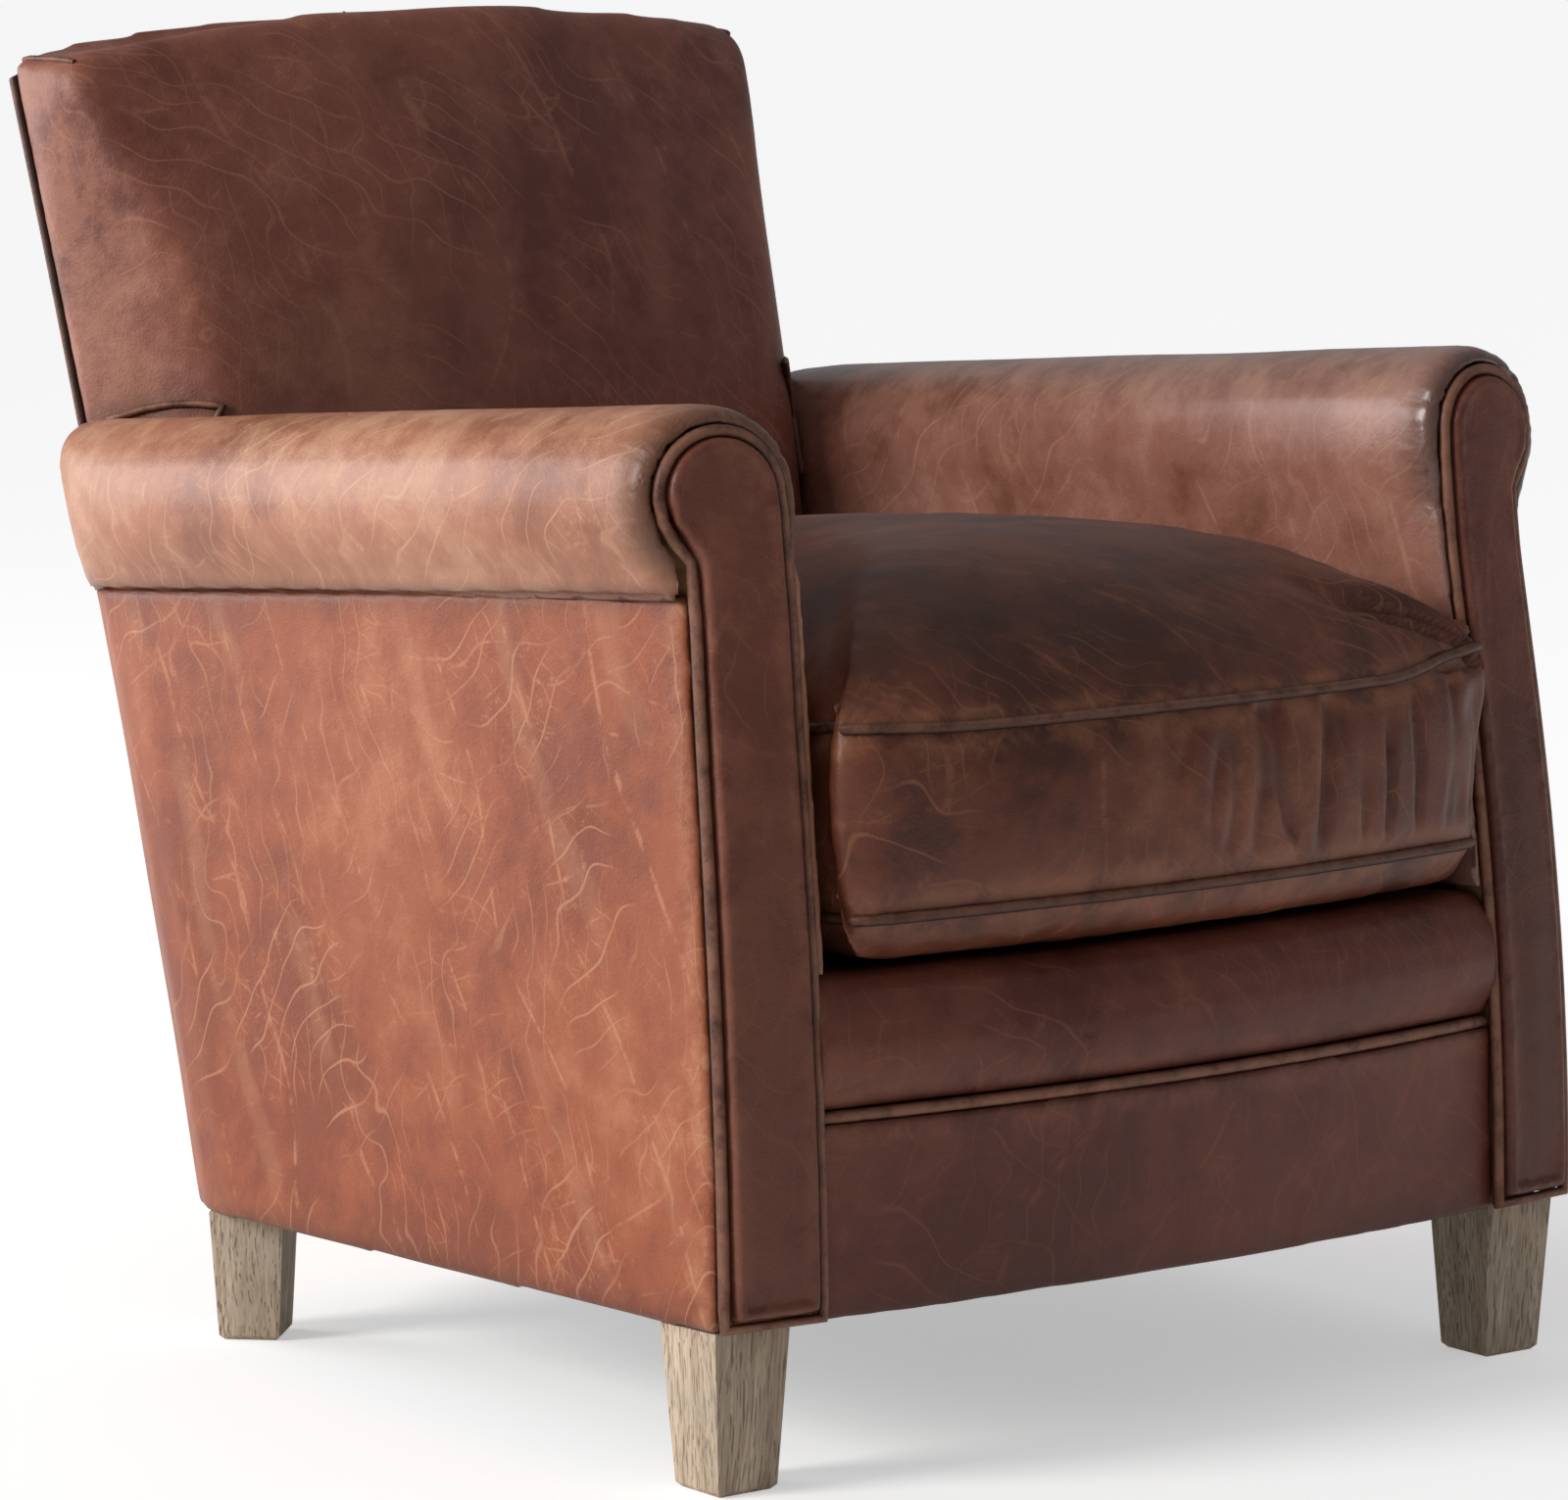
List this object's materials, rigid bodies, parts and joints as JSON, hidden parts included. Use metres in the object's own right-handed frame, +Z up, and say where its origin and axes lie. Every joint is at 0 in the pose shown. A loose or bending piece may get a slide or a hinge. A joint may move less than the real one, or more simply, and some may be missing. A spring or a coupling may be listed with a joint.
{
  "type": "worn club chair",
  "caption": "Leather club chair with rolled arms, a raked back, a loose boxed seat cushion with welted edges and short tapered oak legs.",
  "frame": {"origin": "on the floor under the middle of the chair's bounding box", "axes": "+X across the chair towards the arm that is on the right when seen from the front, +Y from the seat's front to its back, +Z up"},
  "size_m": [0.725, 0.9708, 0.8664],
  "materials": {
    "tan_leather": "worn, scratched pull-up leather, satin",
    "dark_leather": "worn dark brown leather, satin",
    "welt_leather": "leather over cord, rubbed pale on its crest",
    "oak": "weathered, open grain, unvarnished",
    "frame_wood": "planed hardwood, unfinished",
    "steel": "plain spring steel and bolts",
    "webbing": "woven jute",
    "canvas": "canvas over a felt pad",
    "dust_cloth": "thin black cloth"
  },
  "bodies": {
    "root": {"arm_board_left": "frame_wood", "arm_board_right": "frame_wood", "arm_cover_left": "tan_leather", "arm_cover_right": "tan_leather", "arm_facing_left": "dark_leather", "arm_facing_right": "dark_leather", "arm_rail_left": "frame_wood", "arm_rail_right": "frame_wood", "arm_stump_left": "frame_wood", "arm_stump_right": "frame_wood", "arm_tack_rail_left": "frame_wood", "arm_tack_rail_right": "frame_wood", "back_lower_rail": "frame_wood", "back_post_left": "frame_wood", "back_post_right": "frame_wood", "back_rail": "frame_wood", "back_top_rail": "frame_wood", "back_webbing_1": "webbing", "back_webbing_2": "webbing", "back_webbing_3": "webbing", "back_welt": "welt_leather", "corner_block_back_left": "frame_wood", "corner_block_back_right": "frame_wood", "corner_block_front_left": "frame_wood", "corner_block_front_right": "frame_wood", "cushion_welt_high": "welt_leather", "cushion_welt_low": "welt_leather", "dust_cover": "dust_cloth", "facing_welt_left": "welt_leather", "facing_welt_right": "welt_leather", "front_apron": "dark_leather", "front_lip": "dark_leather", "front_rail": "frame_wood", "inside_back": "dark_leather", "leg_back_left": "oak", "leg_back_right": "oak", "leg_bolt_back_left": "steel", "leg_bolt_back_right": "steel", "leg_bolt_front_left": "steel", "leg_bolt_front_right": "steel", "leg_front_left": "oak", "leg_front_right": "oak", "outside_arm_left": "tan_leather", "outside_arm_right": "tan_leather", "outside_back": "tan_leather", "rail_welt": "welt_leather", "seat_cushion": "dark_leather", "seat_deck": "canvas", "seat_spring_1": "steel", "seat_spring_2": "steel", "seat_spring_3": "steel", "seat_spring_4": "steel", "side_rail_left": "frame_wood", "side_rail_right": "frame_wood"}
  },
  "joints": []
}
